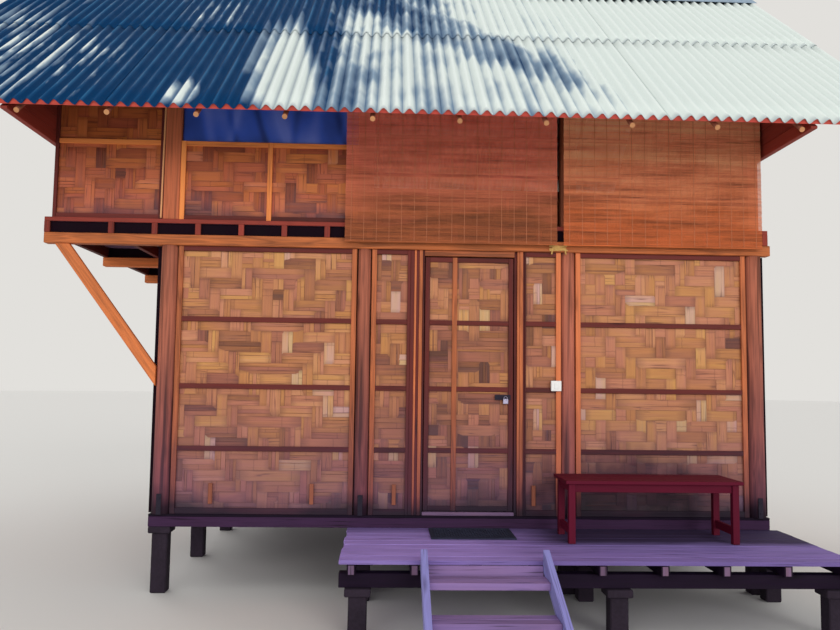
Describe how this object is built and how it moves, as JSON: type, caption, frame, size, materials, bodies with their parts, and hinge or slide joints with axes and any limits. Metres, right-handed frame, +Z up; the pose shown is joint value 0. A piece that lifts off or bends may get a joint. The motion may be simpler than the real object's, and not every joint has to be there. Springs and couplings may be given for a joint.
{
  "type": "bamboo stilt house",
  "caption": "Two-storey timber stilt house with woven bamboo walls, a cantilevered upper floor, reed blinds, a corrugated gable roof, a porch deck and an inward-opening door.",
  "frame": {"origin": "on the ground under the middle of the house's overall box", "axes": "+X to the right along the facade, +Y from the facade to the back, +Z up"},
  "size_m": [7.98, 7.597, 6.1311],
  "materials": {
    "concrete": "rough",
    "log_wood": "satin",
    "brown_timber": "satin",
    "orange_timber": "satin",
    "red_timber": "satin",
    "woven_bamboo": "satin",
    "dark_bamboo": "satin",
    "reed": "satin",
    "roof_sheet": "matte",
    "deck_wood": "weathered",
    "bench_paint": "painted",
    "tarp": "semi gloss",
    "strap_steel": "matte",
    "latch_steel": "satin",
    "switch_plastic": "gloss",
    "mat_rubber": "matte"
  },
  "bodies": {
    "house": {"piers": "concrete", "ground_frame": "brown_timber", "ground_floor": "brown_timber", "lower_posts": "log_wood", "post_straps": "strap_steel", "front_wall_left": "woven_bamboo", "door_side_left": "woven_bamboo", "door_side_right": "woven_bamboo", "front_wall_right": "woven_bamboo", "left_wall": "woven_bamboo", "right_wall": "woven_bamboo", "back_wall": "woven_bamboo", "door_jambs": "orange_timber", "door_head": "orange_timber", "door_threshold": "brown_timber", "jamb_hinges": "latch_steel", "switch_box": "switch_plastic", "upper_beams": "orange_timber", "cantilever_braces": "orange_timber", "upper_joists": "red_timber", "upper_floor": "red_timber", "upper_posts": "orange_timber", "roof_beams": "red_timber", "gable_ties": "red_timber", "rafters": "log_wood", "roof_battens": "red_timber", "roof_front_low": "roof_sheet", "roof_front_high": "roof_sheet", "roof_back_low": "roof_sheet", "roof_back_high": "roof_sheet", "ridge_cap": "roof_sheet", "upper_corner_panel": "dark_bamboo", "upper_window_panel": "dark_bamboo", "upper_left_wall": "dark_bamboo", "upper_right_wall": "dark_bamboo", "upper_back_wall": "dark_bamboo", "window_tarp": "tarp", "reed_blind_left": "reed", "reed_blind_right": "reed", "blind_rails": "brown_timber", "deck_frame": "brown_timber", "deck_boards": "deck_wood", "stair_stringers": "deck_wood", "stair_treads": "deck_wood", "bench": "bench_paint", "doormat": "mat_rubber"},
    "door": {"door_leaf": "woven_bamboo", "door_hinges": "latch_steel", "door_latch": "latch_steel"}
  },
  "joints": [
    {"name": "door_hinge", "type": "hinge", "parent": "house", "child": "door", "pos_m": [0.2165, -1.2216, 1.63], "axis": [0, 0, 1], "range_deg": [0, 95]}
  ]
}
